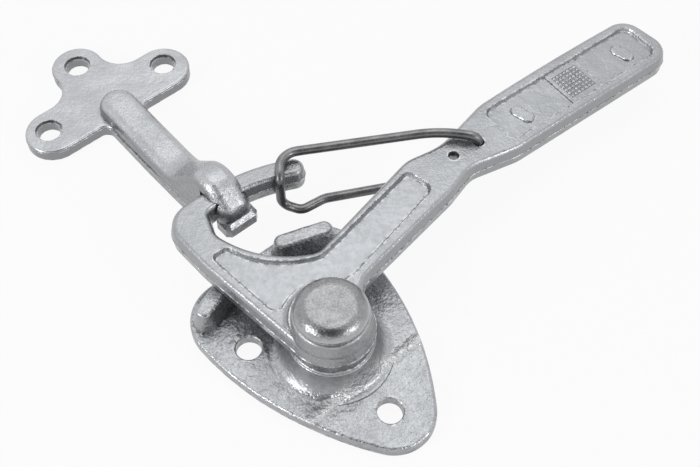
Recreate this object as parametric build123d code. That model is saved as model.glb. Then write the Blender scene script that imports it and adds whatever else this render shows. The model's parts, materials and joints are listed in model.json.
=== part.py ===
from build123d import *
import os
from math import acos, atan2, cos, degrees, radians, sin, tan

# Trailer drop side latch: a forged base plate carries a V-shaped hook lever on a big rivet,
# and the lever's hook arm draws on a keeper that is bolted to the drop side.
# Frame: z = 0 is the mounting plane, the origin lies on the pivot axis, the lever turns about Z.
# Lengths are millimetres, angles are degrees.

# Line of pull: from the pivot towards the keeper, seen from above
PULL_ANGLE = 130.4

# Fits
FACE_GAP = 0.3
PIVOT_CLEARANCE = 0.05
SEAT_CLEARANCE = 0.02
EDGE_BREAK = 0.5

# Base plate, in its own frame: u along the pull line, v to its left
PLATE_THICK = 4.0
PLATE_HALF_WIDTH = 35.2
PLATE_SHIFT_V = -1.2
PLATE_WIDEST_U = 31.0
PLATE_FAR_U = 48.3
PLATE_CORNER_R = 17.3
PLATE_EDGE_R = 1.2
TIP_HOLE_U = -30.2
TIP_R = 15.1
FAR_HOLE_U = 19.0
FAR_HOLE_V = 21.7
BOLT_HOLE_D = 9.0
BOLT_HOLE_EDGE_R = 0.6
WING_BEND_U = -17.5
WING_TILT = 4.0
WING_BEND_R = 14.0

# Pillar on the base plate that lifts the lever over the keeper's flange
PILLAR_TOP_Z = 13.5
PILLAR_TOP_R = 14.6
PILLAR_FOOT_R = 16.6
PILLAR_FOOT_FILLET = 3.0
PILLAR_EDGE_R = 1.0

# Two lugs that stop the lever from tipping, mirrored about the pull line
LUG_TOP_CLEARANCE = 0.4
LUG_INNER_UV = (41.6, 11.8)
LUG_OUTER_UV = (36.5, 26.8)
LUG_FOOT_WIDTH = 9.6
LUG_DRAFT = 10.0
LUG_EDGE_R = 1.5

# Rivet
RIVET_SHANK_D = 14.0
RIVET_HEAD_D = 25.5
RIVET_RIM_HEIGHT = 1.4
RIVET_HEAD_HEIGHT = 5.2
RIVET_FLAT_D = 13.0
RIVET_DOME_SWELL = (1.0, 0.9)
RIVET_TAIL_D = 20.0
RIVET_TAIL_HEIGHT = 4.5

# Lever: hook arm, boss, shank and grip in one forging
LEVER_THICK = 9.2
LEVER_BOSS_HEIGHT = 14.2
LEVER_BOSS_R = 15.0
LEVER_BOSS_TOP_R = 13.2
LEVER_BOSS_EDGE_R = 1.0
BOSS_STEP = 0.15
BOSS_COVE_R = 2.5
UPPER_DRAFT = 9.0
LOWER_DRAFT = 3.5
LEVER_EDGE_R = 2.0
LEVER_LOW_EDGE_R = 1.0

# Hook arm: a bar bent about the pivot. Pairs below are an inset from the arm's inner edge and
# a turn past its root.
HOOK_RADIUS = 67.3
HOOK_WIDTH = 9.0
HOOK_TIP_ANGLE = 102.6
HOOK_ROOT_ANGLE = 132.0
HOOK_ROOT_RUN = 18.3
HOOK_ROOT_R = 11.0
HEEL = (13.3, 21.9)
HEEL_R = 60.0
BIGHT = (8.3, 6.4)
BIGHT_R = 7.0
BIGHT_MOUTH_R = 2.4
THROAT_R = 35.0
THROAT_TURN = -4.1
BOSS_MEET_R = 9.0

# Shank, neck and grip, in the grip's frame: along the handle from the pivot, then across it
GRIP_ANGLE = 37.1
SHANK_ROOT_TOP = (13.3, 25.8)
SHANK_ROOT_LOW = (12.0, 5.2)
SHANK_ROOT_R = 6.0
SHANK_END_LOW = (66.8, 16.9)
SHANK_END_R = 20.0
SHOULDER = (62.6, 39.1)
SHOULDER_R = 14.0
NECK_TOP = (77.2, 37.0)
NECK_TOP_SIDE_R = 26.0
NECK_LOW = (80.0, 21.3)
NECK_LOW_SIDE_R = 12.0
GRIP_OFFSET = 30.4
GRIP_WIDTH = 26.0
GRIP_START = 100.5
GRIP_START_SKEW = 1.0
GRIP_START_R = 24.0
GRIP_SWELL = 0.7
GRIP_END = 180.0
GRIP_END_SKEW = 1.6
GRIP_END_R = 9.0

# Pockets in the lever's top, with a panel and two ovals left standing in the grip's
POCKET_DRAFT = 32.0
WEB_POCKET_DEPTH = 1.4
WEB_BOSS_GAP = 2.9
WEB_BOSS_SIDE = (-14.6, -0.5)
WEB_BOSS_CORNER_R = 2.4
WEB_LEFT = (14.5, 16.0)
WEB_LEFT_TOP = (16.0, 9.7)
WEB_THROAT_RIM = 3.6
WEB_ROOT_TOP = (13.3, 22.5)
WEB_END_TOP = (59.2, 33.5)
WEB_END_LOW = (62.0, 23.0)
WEB_ROOT_LOW = (18.7, 11.4)
WEB_TIGHT_R = 1.5
WEB_END_R = 3.0
WEB_ROOT_R = 8.0
GRIP_POCKET_DEPTH = 1.3
GRIP_SIDE_RIM = 4.95
GRIP_END_RIM = 5.9
GRIP_POCKET_R = 3.2
PANEL_STEP = 0.35
PANEL_SHIFT = 1.3
PANEL_LENGTH = 15.3
OVAL_LENGTH = 9.8
OVAL_WIDTH = 5.0
OVAL_TURN = -74.0
OVAL_HEIGHT = 0.7
OVAL_SHIFT = -0.6
OVAL_FROM_START = 11.4
OVAL_FROM_END = 10.1

# Safety wire: a bent spring whose two ends sit in holes of the lever's neck, placed in the
# grip's frame. Its pairs at the hook's mouth are an inset from the arm and a turn past its tip.
WIRE_D = 3.6
WIRE_HOLE_D = 4.2
WIRE_TOP_HOLE = (89.3, 28.8)
WIRE_LOW_HOLE = (77.7, 29.5)
WIRE_RIDE_GAP = 0.9
WIRE_UNDER_GAP = 1.0
WIRE_TOP_SINK = 8.4
WIRE_LOW_SINK = 1.6
WIRE_SHOULDER = (80.5, 39.3)
WIRE_CROSS_TURN = 3.1
WIRE_LEG = (2.5, 5.8)
WIRE_LOOP = (7.2, -0.8)
WIRE_RETURN = (3.0, -9.5)
WIRE_BENDS = (3.4, 50.0, 7.5, 3.8, 3.6, 4.0, 8.0, 3.5)

# Keeper: s runs from the rear bolt hole towards the pivot, t to the left of that line
KEEPER_REACH = 101.1
KEEPER_OFFSET = -5.3
FLANGE_THICK = 5.0
FLANGE_EDGE_R = 1.1
REAR_LOBE_R = 10.3
SIDE_LOBE_R = 10.9
SIDE_LOBE_S = 22.9
SIDE_LOBE_T = 26.0
SIDE_HOLE_S = 21.7
SIDE_HOLE_T = 27.25
FLANGE_WAIST_R = 10.5
FLANGE_STEM_R = 3.6
KEEPER_HOLE_D = 9.0
KEEPER_SINK_D = 10.6
KEEPER_SINK_DEPTH = 1.0

# Stem of the keeper: a low plinth that runs on from the flange, with a rounded ridge on it
STEM_START_S = 30.5
PLINTH_HALF_WIDTH = 7.9
PLINTH_FALL_S = 35.0
PLINTH_LOW_S = 42.0
PLINTH_LOW_Z = 3.6
PLINTH_END_Z = 5.4
STEM_HALF_WIDTH = 7.7
STEM_DRAFT = 2.8
STEM_TOP_Z = 11.0
STEM_ROUND_R = 4.6
HEEL_START_S = 62.0
HEEL_S = 86.0
HEEL_LIFT = 1.2
HEEL_RISE = 7.0
HEEL_ROUND_R = 40.0

# Gooseneck hook of the keeper, which arches over the lever's hook arm
NECK_ROOT_S = 74.4
NECK_ROOT_R = 14.0
NECK_TOP_S = 92.2
NECK_TOP_R = 12.0
ARCH_TOP_Z = 28.6
ARCH_FRONT_S = 101.2
ARCH_FRONT_R = 10.0
NOSE_S = 111.0
NOSE_Z = 20.4
NOSE_R = 7.5
ARCH_GAP = 0.35
LIP_S = 112.8
LIP_HALF_WIDTH = 7.1
LIP_TOP_Z = 14.9
LIP_BOTTOM_Z = 10.8
LIP_LEDGE_HEIGHT = 1.4
LIP_LEDGE_DRAFT = 48.0
LIP_CORNER = 1.6

# Levels and radii that follow from the sizes above
LEVER_BOTTOM_Z = PILLAR_TOP_Z + FACE_GAP
LEVER_TOP_Z = LEVER_BOTTOM_Z + LEVER_THICK
LEVER_MID_Z = LEVER_BOTTOM_Z + LEVER_THICK / 2
BOSS_TOP_Z = LEVER_BOTTOM_Z + LEVER_BOSS_HEIGHT
HOOK_INNER_R = HOOK_RADIUS - HOOK_WIDTH / 2
HOOK_OUTER_R = HOOK_RADIUS + HOOK_WIDTH / 2
KEEPER_DISTANCE = HOOK_RADIUS + KEEPER_REACH


def polar(radius, angle):
    """Point at a radius and a direction from the pivot."""
    return (radius * cos(radians(angle)), radius * sin(radians(angle)))


def inside_hook(inset, angle):
    """Point inside the hook arm's inner edge, in a direction from the pivot."""
    return polar(HOOK_INNER_R - inset, angle)


def past_root(place):
    """Point given as an inset from the hook arm and a turn past its root."""
    inset, turn = place
    return inside_hook(inset, HOOK_ROOT_ANGLE + turn)


def past_tip(place):
    """Point given as an inset from the hook arm and a turn past its tip."""
    inset, turn = place
    return inside_hook(inset, HOOK_TIP_ANGLE + turn)


def on_grip(along, across):
    """Point in the grip's frame, which runs along the handle from the pivot."""
    c = cos(radians(GRIP_ANGLE))
    s = sin(radians(GRIP_ANGLE))
    return (along * c - across * s, along * s + across * c)


def round_corners(face, corners):
    """Round the corners of a plan face, each given as a point and its radius."""
    for point, radius in corners:
        near = face.vertices().sort_by_distance(Vector(*point))[0]
        face = fillet(near, radius)
    return face


def seat_on_pull_line(shape):
    """Turn a shape from the pull line's frame into the latch's own frame."""
    return Rot(0, 0, PULL_ANGLE) * shape


def plate_outline():
    """Egg-shaped outline: a tip round one bolt hole, two long side arcs and a blunt far end."""
    reach = PLATE_WIDEST_U - TIP_HOLE_U
    side_r = (reach ** 2 + PLATE_HALF_WIDTH ** 2 - TIP_R ** 2) / (2 * (PLATE_HALF_WIDTH - TIP_R))
    side_v = PLATE_HALF_WIDTH - side_r
    lean = atan2(-side_v, reach)
    touch = Vector(TIP_HOLE_U - TIP_R * cos(lean), TIP_R * sin(lean))
    half_lean = (lean + radians(90)) / 2
    side_mid = Vector(
        PLATE_WIDEST_U - side_r * cos(half_lean), side_v + side_r * sin(half_lean)
    )
    corner = Vector(PLATE_FAR_U - PLATE_CORNER_R, PLATE_HALF_WIDTH - PLATE_CORNER_R)
    diagonal = PLATE_CORNER_R * cos(radians(45))
    upper = [
        ThreePointArc((TIP_HOLE_U - TIP_R, 0), Vector(TIP_HOLE_U - TIP_R * cos(lean / 2),
                      TIP_R * sin(lean / 2)), touch),
        ThreePointArc(touch, side_mid, (PLATE_WIDEST_U, PLATE_HALF_WIDTH)),
        ThreePointArc((PLATE_WIDEST_U, PLATE_HALF_WIDTH), corner + Vector(diagonal, diagonal),
                      (PLATE_FAR_U, corner.Y)),
        Line((PLATE_FAR_U, corner.Y), (PLATE_FAR_U, 0)),
    ]
    lower = [mirror(edge, about=Plane.XZ) for edge in upper]
    return Pos(0, PLATE_SHIFT_V) * make_face(upper + lower)


def bent_sheet():
    """Sheet across the whole plate, bent down at the wing, to be trimmed to the outline."""
    run = 40.0
    margin = 10.0
    drop = radians(WING_TILT)
    bend_shift = PLATE_THICK * tan(drop / 2)
    low_end = Vector(WING_BEND_U - run * cos(drop), -run * sin(drop))
    up = Vector(-sin(drop), cos(drop)) * PLATE_THICK
    low_bend = Vector(WING_BEND_U, 0)
    top_bend = Vector(WING_BEND_U - bend_shift, PLATE_THICK)
    side = make_face(Polyline(
        (PLATE_FAR_U + margin, 0), low_bend, low_end, low_end + up, top_bend,
        (PLATE_FAR_U + margin, PLATE_THICK), close=True,
    ))
    side = round_corners(side, ((low_bend, WING_BEND_R), (top_bend, WING_BEND_R)))
    return extrude(Plane.XZ * side, PLATE_HALF_WIDTH + margin, both=True)


def build_base_plate():
    """Forged plate with a pillar for the lever, two lugs, three bolt holes and a bent wing."""
    outline = plate_outline()
    depth = 12.0
    prism = extrude(Pos(0, 0, -depth) * outline, 2 * depth)
    plate = soften_plate_rim(bent_sheet() & prism)

    plate += build_pillar()
    for side in (1, -1):
        plate = plate + build_lug(side)

    plate -= Cylinder(RIVET_SHANK_D / 2 + SEAT_CLEARANCE, 4 * PILLAR_TOP_Z)
    plate -= Cylinder(RIVET_TAIL_D / 2 + SEAT_CLEARANCE, 2 * (RIVET_TAIL_HEIGHT + SEAT_CLEARANCE))
    for u, v in ((FAR_HOLE_U, FAR_HOLE_V), (FAR_HOLE_U, -FAR_HOLE_V)):
        plate -= Pos(u, v, 0) * Cylinder(BOLT_HOLE_D / 2, 3 * PLATE_THICK)
    plate -= wing_place() * Cylinder(BOLT_HOLE_D / 2, 3 * PLATE_THICK)
    mouths = plate.edges().filter_by(GeomType.CIRCLE).filter_by(
        lambda edge: abs(edge.radius - BOLT_HOLE_D / 2) < 0.01 and edge.arc_center.Z > PLATE_THICK / 2
    )
    plate = fillet(mouths, BOLT_HOLE_EDGE_R)
    return seat_on_pull_line(plate)


def build_pillar():
    """Drafted pillar whose foot flares out into the plate."""
    flare = PILLAR_FOOT_R + PILLAR_FOOT_FILLET
    root = 1.0
    lean = PILLAR_FOOT_FILLET * cos(radians(45))
    foot_mid = (flare - lean, PLATE_THICK + PILLAR_FOOT_FILLET - lean)
    side = make_face([
        Polyline((0, root), (flare, root), (flare, PLATE_THICK)),
        ThreePointArc((flare, PLATE_THICK), foot_mid, (PILLAR_FOOT_R, PLATE_THICK + PILLAR_FOOT_FILLET)),
        Polyline((PILLAR_FOOT_R, PLATE_THICK + PILLAR_FOOT_FILLET), (PILLAR_TOP_R, PILLAR_TOP_Z),
                 (0, PILLAR_TOP_Z), (0, root)),
    ])
    pillar = revolve(Plane.XZ * side, Axis.Z)
    return fillet(pillar.edges().group_by(Axis.Z)[-1], PILLAR_EDGE_R)


def wing_place():
    """Place of the wing's bolt hole: on the back of the bent wing, square to it."""
    drop = radians(WING_TILT)
    run = WING_BEND_U - TIP_HOLE_U
    return Pos(WING_BEND_U - run * cos(drop), 0, -run * sin(drop)) * Rot(0, -WING_TILT, 0)


def soften_plate_rim(plate):
    """Round the plate's upper rim, from the far end round to the bent wing's tip."""
    upper = []
    for edge in plate.edges():
        middle = edge @ 0.5
        wing_drop = max(0, WING_BEND_U - middle.X) * tan(radians(WING_TILT))
        on_top = middle.Z > PLATE_THICK / 2 + 0.5 - wing_drop
        level = abs((edge % 0.5).Z) < 0.5
        on_bend = edge.length > PLATE_HALF_WIDTH and abs(middle.X - WING_BEND_U) < 2
        if on_top and level and not on_bend:
            upper.append(edge)
    return fillet(upper, PLATE_EDGE_R)


def build_lug(side):
    """Solid lug with drafted walls; side is 1 to the left of the pull line, -1 to its right."""
    height = LEVER_BOTTOM_Z - LUG_TOP_CLEARANCE - PLATE_THICK
    inner = Vector(LUG_INNER_UV[0], side * LUG_INNER_UV[1])
    outer = Vector(LUG_OUTER_UV[0], side * LUG_OUTER_UV[1])
    middle = (inner + outer) * 0.5
    length = (outer - inner).length + LUG_FOOT_WIDTH
    turn = degrees(atan2(outer.Y - inner.Y, outer.X - inner.X))
    root = 1.0
    foot = Pos(middle.X, middle.Y, PLATE_THICK - root) * Rot(0, 0, turn) * SlotOverall(
        length, LUG_FOOT_WIDTH
    )
    lug = extrude(foot, height + root, taper=LUG_DRAFT)
    return fillet(lug.edges().group_by(Axis.Z)[-1], LUG_EDGE_R)


def build_pivot_rivet():
    """Rivet with a domed, hammered-flat head above and a closed tail flush in the base plate."""
    shank = RIVET_SHANK_D / 2
    tail = RIVET_TAIL_D / 2
    head = RIVET_HEAD_D / 2
    flat = RIVET_FLAT_D / 2
    head_z = BOSS_TOP_Z + FACE_GAP
    rim_z = head_z + RIVET_RIM_HEIGHT
    top_z = head_z + RIVET_HEAD_HEIGHT
    swell = Vector((head + flat) / 2 + RIVET_DOME_SWELL[0], (rim_z + top_z) / 2 + RIVET_DOME_SWELL[1])
    side = [
        Polyline((0, top_z), (0, 0), (tail, 0), (tail, RIVET_TAIL_HEIGHT),
                 (shank, RIVET_TAIL_HEIGHT), (shank, head_z), (head, head_z), (head, rim_z)),
        ThreePointArc((head, rim_z), swell, (flat, top_z)),
        Line((flat, top_z), (0, top_z)),
    ]
    rivet = revolve(Plane.XZ * make_face(side), Axis.Z)
    return chamfer(rivet.edges().group_by(Axis.Z)[0], EDGE_BREAK)


def lever_plan():
    """Plan of the lever at its parting line: hook root, boss, shank, neck and grip."""
    heel = past_root(HEEL)
    tangent_turn = degrees(acos(LEVER_BOSS_R / (HOOK_INNER_R - HEEL[0])))
    boss_touch = polar(LEVER_BOSS_R, HOOK_ROOT_ANGLE + HEEL[1] + tangent_turn)
    root_out = polar(HOOK_OUTER_R, HOOK_ROOT_ANGLE)
    outer_corner = (
        root_out[0] - HOOK_ROOT_RUN * sin(radians(HOOK_ROOT_ANGLE)),
        root_out[1] + HOOK_ROOT_RUN * cos(radians(HOOK_ROOT_ANGLE)),
    )
    root_mid = polar(HOOK_RADIUS, HOOK_ROOT_ANGLE + 0.5)
    bight = past_root(BIGHT)
    throat_mid = polar(THROAT_R, HOOK_ROOT_ANGLE + THROAT_TURN)
    throat_end = on_grip(*SHANK_ROOT_TOP)
    shoulder = on_grip(*SHOULDER)
    neck_top = on_grip(*NECK_TOP)
    neck_low = on_grip(*NECK_LOW)
    shank_low = on_grip(*SHANK_END_LOW)
    top = GRIP_OFFSET + GRIP_WIDTH / 2
    low = GRIP_OFFSET - GRIP_WIDTH / 2
    grip_top = on_grip(GRIP_START + GRIP_START_SKEW, top)
    grip_low = on_grip(GRIP_START - GRIP_START_SKEW, low)
    swell = on_grip((GRIP_START + GRIP_END) / 2, top + GRIP_SWELL)
    end_top = on_grip(GRIP_END - GRIP_END_SKEW, top)
    end_low = on_grip(GRIP_END + GRIP_END_SKEW, low)
    body = make_face([
        Polyline(boss_touch, heel, outer_corner, root_out, root_mid, bight),
        ThreePointArc(bight, throat_mid, throat_end),
        Polyline(throat_end, shoulder, neck_top, grip_top),
        ThreePointArc(grip_top, swell, end_top),
        Polyline(end_top, end_low, grip_low, neck_low, shank_low, on_grip(*SHANK_ROOT_LOW), boss_touch),
    ])
    body = round_corners(body, (
        (heel, HEEL_R), (outer_corner, HOOK_ROOT_R), (bight, BIGHT_R), (throat_end, SHANK_ROOT_R),
        (shoulder, SHOULDER_R), (neck_top, NECK_TOP_SIDE_R), (grip_top, GRIP_START_R),
        (end_top, GRIP_END_R), (end_low, GRIP_END_R), (grip_low, GRIP_START_R),
        (neck_low, NECK_LOW_SIDE_R), (shank_low, SHANK_END_R),
    ))
    plan = body + Circle(LEVER_BOSS_R) + hook_sector()
    boss_meet = polar(LEVER_BOSS_R, GRIP_ANGLE - 3.5)
    bight_top = polar(HOOK_INNER_R, HOOK_ROOT_ANGLE + 1.8)
    return round_corners(plan, ((bight_top, BIGHT_MOUTH_R), (boss_meet, BOSS_MEET_R)))


def hook_sector():
    """Plan of the hook arm: a ring sector about the pivot with a round tip."""
    sweep = HOOK_ROOT_ANGLE + 3.0 - HOOK_TIP_ANGLE
    outer = CenterArc((0, 0), HOOK_OUTER_R, HOOK_TIP_ANGLE, sweep)
    inner = CenterArc((0, 0), HOOK_INNER_R, HOOK_TIP_ANGLE, sweep)
    sector = make_face([outer, inner, Line(outer @ 0, inner @ 0), Line(outer @ 1, inner @ 1)])
    return sector + Pos(*polar(HOOK_RADIUS, HOOK_TIP_ANGLE)) * Circle(HOOK_WIDTH / 2)


def web_pocket_plan():
    """Plan of the shallow pocket that runs from the hook arm round the boss and up the shank."""
    left = past_root(WEB_LEFT)
    left_top = past_root(WEB_LEFT_TOP)
    throat_mid = polar(THROAT_R - WEB_THROAT_RIM, HOOK_ROOT_ANGLE)
    throat_end = on_grip(*WEB_ROOT_TOP)
    end_top = on_grip(*WEB_END_TOP)
    end_low = on_grip(*WEB_END_LOW)
    pocket = make_face([
        Line(left, left_top),
        ThreePointArc(left_top, throat_mid, throat_end),
        Polyline(throat_end, end_top, end_low, on_grip(*WEB_ROOT_LOW), WEB_BOSS_SIDE, left),
    ])
    pocket = round_corners(pocket, (
        (left, WEB_TIGHT_R), (left_top, WEB_TIGHT_R), (throat_end, WEB_ROOT_R),
        (end_top, WEB_TIGHT_R), (end_low, WEB_END_R),
    ))
    rim_r = LEVER_BOSS_R + WEB_BOSS_GAP
    pocket -= Circle(rim_r)
    corner = pocket.vertices().sort_by_distance(Vector(*polar(rim_r, HOOK_ROOT_ANGLE + WEB_LEFT[1])))[0]
    return fillet(corner, WEB_BOSS_CORNER_R)


def half_forging(plan, angle, edge_r):
    """Upper half of the lever on its parting line: walls leaning in by the draft, top edge round."""
    slab = extrude(Pos(0, 0, LEVER_MID_Z) * plan, LEVER_THICK / 2)
    walls = [face for face in slab.faces() if abs(face.normal_at(face.center()).Z) < 0.01]
    slab = draft(walls, Plane((0, 0, LEVER_MID_Z)), angle)
    return fillet(slab.edges().group_by(Axis.Z)[-1], edge_r)


def sunk_pocket(plan, depth):
    """Tool for a pocket in the lever's top whose walls lean outwards."""
    above = 2.0
    floor_z = LEVER_TOP_Z - depth
    tool = extrude(Pos(0, 0, floor_z) * plan, depth + above)
    walls = [face for face in tool.faces() if abs(face.normal_at(face.center()).Z) < 0.01]
    return draft(walls, Plane((0, 0, floor_z)), -POCKET_DRAFT)


def lever_boss():
    """Drafted boss round the pivot bore, from the parting line up past the arms."""
    side = Polyline(
        (0, LEVER_MID_Z),
        (LEVER_BOSS_R + BOSS_STEP, LEVER_MID_Z),
        (LEVER_BOSS_TOP_R, BOSS_TOP_Z),
        (0, BOSS_TOP_Z),
        close=True,
    )
    boss = revolve(Plane.XZ * make_face(side), Axis.Z)
    return fillet(boss.edges().group_by(Axis.Z)[-1], LEVER_BOSS_EDGE_R)


def boss_cove(slab):
    """Concave blend between the boss and the flat top of the arms, trimmed to that top."""
    rise = (BOSS_TOP_Z - LEVER_TOP_Z) / (BOSS_TOP_Z - LEVER_MID_Z)
    foot = LEVER_BOSS_TOP_R + rise * (LEVER_BOSS_R + BOSS_STEP - LEVER_BOSS_TOP_R)
    reach = foot + BOSS_COVE_R
    inside = LEVER_BOSS_TOP_R - BOSS_STEP
    crest_z = LEVER_TOP_Z + BOSS_COVE_R
    sag = BOSS_COVE_R * cos(radians(45))
    side = make_face([
        Polyline((foot, crest_z), (inside, crest_z), (inside, LEVER_TOP_Z), (reach, LEVER_TOP_Z)),
        ThreePointArc((reach, LEVER_TOP_Z), (reach - sag, crest_z - sag), (foot, crest_z)),
    ])
    top = slab.faces().sort_by(Axis.Z)[-1]
    return revolve(Plane.XZ * side, Axis.Z) & extrude(top, BOSS_COVE_R)


def build_latch_lever():
    """One forging: drafted both ways from its parting line, with boss, pockets and wire holes."""
    plan = lever_plan()
    upper = half_forging(plan, UPPER_DRAFT, LEVER_EDGE_R)
    lower = half_forging(plan, LOWER_DRAFT, LEVER_LOW_EDGE_R)
    lower = mirror(lower, about=Plane((0, 0, LEVER_MID_Z)))
    lever = upper + lower + lever_boss() + boss_cove(upper)
    lever -= sunk_pocket(web_pocket_plan(), WEB_POCKET_DEPTH)
    lever -= sunk_pocket(grip_pocket_plan(), GRIP_POCKET_DEPTH)
    lever += grip_panel()
    pocket_end = GRIP_END - GRIP_END_RIM
    for station in (GRIP_START + OVAL_FROM_START, pocket_end - OVAL_FROM_END):
        lever += grip_oval(station)
    for hole in (WIRE_TOP_HOLE, WIRE_LOW_HOLE):
        x, y = on_grip(*hole)
        lever -= Pos(x, y, LEVER_MID_Z) * Cylinder(WIRE_HOLE_D / 2, 2 * LEVER_THICK)
    bore = Cylinder(RIVET_SHANK_D / 2 + PIVOT_CLEARANCE, 4 * LEVER_BOSS_HEIGHT)
    return lever - Pos(0, 0, LEVER_MID_Z) * bore


def grip_pocket_width():
    """Width of the grip's pocket at its floor."""
    return GRIP_WIDTH - 2 * GRIP_SIDE_RIM


def grip_pocket_plan():
    """Plan of the long pocket in the grip."""
    end = GRIP_END - GRIP_END_RIM
    x, y = on_grip((GRIP_START + end) / 2, GRIP_OFFSET)
    frame = Pos(x, y) * Rot(0, 0, GRIP_ANGLE)
    return frame * RectangleRounded(end - GRIP_START, grip_pocket_width(), GRIP_POCKET_R)


def grip_panel():
    """Plain raised panel across the floor of the grip's pocket."""
    floor_z = LEVER_TOP_Z - GRIP_POCKET_DEPTH
    root = 1.0
    middle = (GRIP_START + GRIP_END - GRIP_END_RIM) / 2
    x, y = on_grip(middle + PANEL_SHIFT, GRIP_OFFSET)
    width = grip_pocket_width() + 2 * GRIP_POCKET_DEPTH * tan(radians(POCKET_DRAFT))
    panel = Box(PANEL_LENGTH, width, root + PANEL_STEP, align=(Align.CENTER, Align.CENTER, Align.MIN))
    return Pos(x, y, floor_z - root) * Rot(0, 0, GRIP_ANGLE) * panel


def grip_oval(station):
    """Raised oval on the floor of the grip's pocket, at a station along the grip."""
    floor_z = LEVER_TOP_Z - GRIP_POCKET_DEPTH
    root = 1.0
    x, y = on_grip(station, GRIP_OFFSET + OVAL_SHIFT)
    plan = Rot(0, 0, GRIP_ANGLE + OVAL_TURN) * SlotOverall(OVAL_LENGTH, OVAL_WIDTH)
    oval = extrude(Pos(x, y, floor_z - root) * plan, root + OVAL_HEIGHT)
    return fillet(oval.edges().group_by(Axis.Z)[-1], OVAL_HEIGHT - 0.1)


def build_gate_spring():
    """Spring wire bent from one hole of the neck round the hook's mouth and back to the other."""
    top_z = LEVER_TOP_Z + WIRE_RIDE_GAP + WIRE_D / 2
    low_z = LEVER_BOTTOM_Z - WIRE_UNDER_GAP - WIRE_D / 2
    top_hole = on_grip(*WIRE_TOP_HOLE)
    low_hole = on_grip(*WIRE_LOW_HOLE)
    leg = past_tip(WIRE_LEG)
    route = [
        (*top_hole, LEVER_TOP_Z - WIRE_TOP_SINK),
        (*top_hole, top_z),
        (*on_grip(*WIRE_SHOULDER), top_z),
        (*polar(HOOK_OUTER_R, HOOK_TIP_ANGLE + WIRE_CROSS_TURN), top_z),
        (*leg, top_z),
        (*leg, low_z),
        (*past_tip(WIRE_LOOP), low_z),
        (*past_tip(WIRE_RETURN), low_z),
        (*low_hole, low_z),
        (*low_hole, LEVER_TOP_Z - WIRE_LOW_SINK),
    ]
    path = FilletPolyline(*route, radius=list(WIRE_BENDS))
    section = Plane(origin=path @ 0, z_dir=path % 0) * Circle(WIRE_D / 2)
    return sweep(section, path=path)


def flange_plan():
    """Plan of the keeper's base: a rear lobe, a bar with a lobe at each end and the plinth."""
    bar = Pos(SIDE_LOBE_S, 0) * Rot(0, 0, 90) * SlotOverall(
        2 * (SIDE_LOBE_T + SIDE_LOBE_R), 2 * SIDE_LOBE_R
    )
    neck = Pos(SIDE_LOBE_S / 2, 0) * Rectangle(SIDE_LOBE_S, 2 * REAR_LOBE_R)
    ring_s = KEEPER_DISTANCE - HOOK_OUTER_R
    plinth = Pos((SIDE_LOBE_S + ring_s) / 2, 0) * Rectangle(ring_s - SIDE_LOBE_S, 2 * PLINTH_HALF_WIDTH)
    plan = bar + neck + Circle(REAR_LOBE_R) + plinth
    rear_s = SIDE_LOBE_S - SIDE_LOBE_R
    front_s = SIDE_LOBE_S + SIDE_LOBE_R
    return round_corners(plan, (
        ((rear_s, REAR_LOBE_R), FLANGE_WAIST_R), ((rear_s, -REAR_LOBE_R), FLANGE_WAIST_R),
        ((front_s, PLINTH_HALF_WIDTH), FLANGE_STEM_R), ((front_s, -PLINTH_HALF_WIDTH), FLANGE_STEM_R),
    ))


def keeper_base():
    """Flange whose top falls to a low plinth along the stem."""
    base = extrude(flange_plan(), FLANGE_THICK)
    base = fillet(base.edges().group_by(Axis.Z)[-1], FLANGE_EDGE_R)
    above = FLANGE_THICK + 1.0
    ring_s = KEEPER_DISTANCE - HOOK_OUTER_R
    relief = make_face(Polyline(
        (PLINTH_FALL_S, above), (PLINTH_FALL_S, FLANGE_THICK), (PLINTH_LOW_S, PLINTH_LOW_Z),
        (HEEL_S, PLINTH_END_Z), (ring_s + 1, PLINTH_END_Z), (ring_s + 1, above), close=True,
    ))
    return base - extrude(Plane.XZ * relief, SIDE_LOBE_T, both=True)


def heel_relief():
    """Space under the stem where its back rises from the drop side towards the hook."""
    below = 5.0
    end_s = KEEPER_DISTANCE - HOOK_RADIUS
    heel = (HEEL_S, HEEL_LIFT)
    side = make_face(Polyline(
        (HEEL_START_S, 0), heel, (end_s, HEEL_RISE), (end_s, -below), (HEEL_START_S, -below), close=True,
    ))
    side = round_corners(side, ((heel, HEEL_ROUND_R),))
    return extrude(Plane.XZ * side, 2 * PLINTH_HALF_WIDTH, both=True)


def hook_side():
    """Side view of stem and gooseneck hook, from the flange to the hook's nose."""
    root = (NECK_ROOT_S, STEM_TOP_Z)
    top = (NECK_TOP_S, ARCH_TOP_Z)
    front = (ARCH_FRONT_S, ARCH_TOP_Z)
    nose = (NOSE_S, NOSE_Z)
    side = make_face(Polyline(
        (STEM_START_S, 0), (NOSE_S, 0), nose, front, top, root, (STEM_START_S, STEM_TOP_Z), close=True,
    ))
    return round_corners(side, (
        (root, NECK_ROOT_R), (top, NECK_TOP_R), (front, ARCH_FRONT_R), (nose, NOSE_R),
    ))


def ridge_half_width(height):
    """Half width of the stem and the hook at a height, with the forging's draft."""
    return STEM_HALF_WIDTH - height * tan(radians(STEM_DRAFT))


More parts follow.
